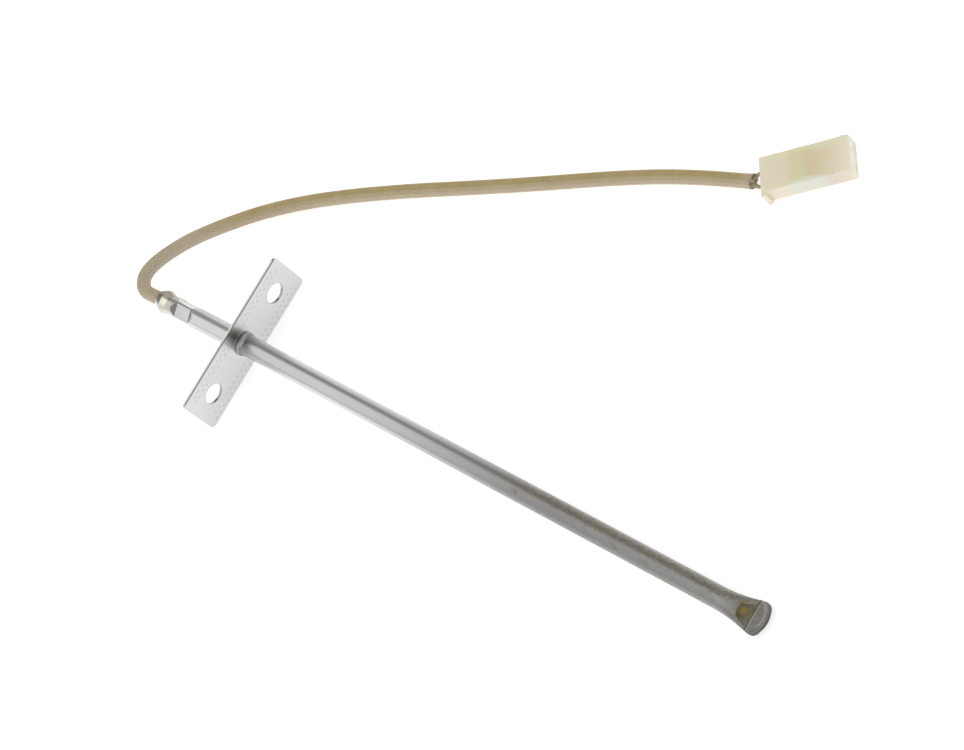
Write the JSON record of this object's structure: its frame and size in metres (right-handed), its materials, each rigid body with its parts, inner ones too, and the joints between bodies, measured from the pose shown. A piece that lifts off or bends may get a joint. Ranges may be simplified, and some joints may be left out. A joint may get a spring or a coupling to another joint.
{
  "type": "oven temperature sensor probe",
  "caption": "Oven temperature sensor: steel sheath with a pinched tip, cross plate with screw holes, square-crimped rear end, braided lead and flat connector.",
  "frame": {"origin": "centre of the plate's front face, midway between its two screw holes, on the sheath's axis", "axes": "+X along the sheath to its tip, +Y along the plate towards the side where the cord lies, +Z across the plate"},
  "size_m": [0.2384, 0.153, 0.0181],
  "materials": {
    "stainless_tube": "satin, drawn lengthwise",
    "steel_plate": "matt, pressed sheet",
    "element_ceramic": "matt",
    "seal_glass": "smooth",
    "lead_metal": "drawn",
    "nickel": "drawn",
    "glass_fibre_sleeve": "tight braid, varnished",
    "packing_ceramic": "matt",
    "wire_fibre": "fine braid, varnished",
    "natural_nylon": "satin, slightly translucent",
    "tinned_brass": "bright"
  },
  "bodies": {
    "root": {"sheath_tube": "stainless_tube", "mounting_plate": "steel_plate", "rtd_substrate": "element_ceramic", "rtd_glass_cover": "seal_glass", "rtd_lead_a": "lead_metal", "rtd_lead_b": "lead_metal", "splice_ferrule_a": "nickel", "splice_ferrule_b": "nickel", "splice_sleeve_a": "glass_fibre_sleeve", "splice_sleeve_b": "glass_fibre_sleeve", "tip_packing": "packing_ceramic", "conductor_a": "nickel", "conductor_b": "nickel", "lead_insulation_a": "wire_fibre", "lead_insulation_b": "wire_fibre", "braided_sleeve": "glass_fibre_sleeve", "connector_housing": "natural_nylon", "terminal_a": "tinned_brass", "terminal_b": "tinned_brass"}
  },
  "joints": []
}
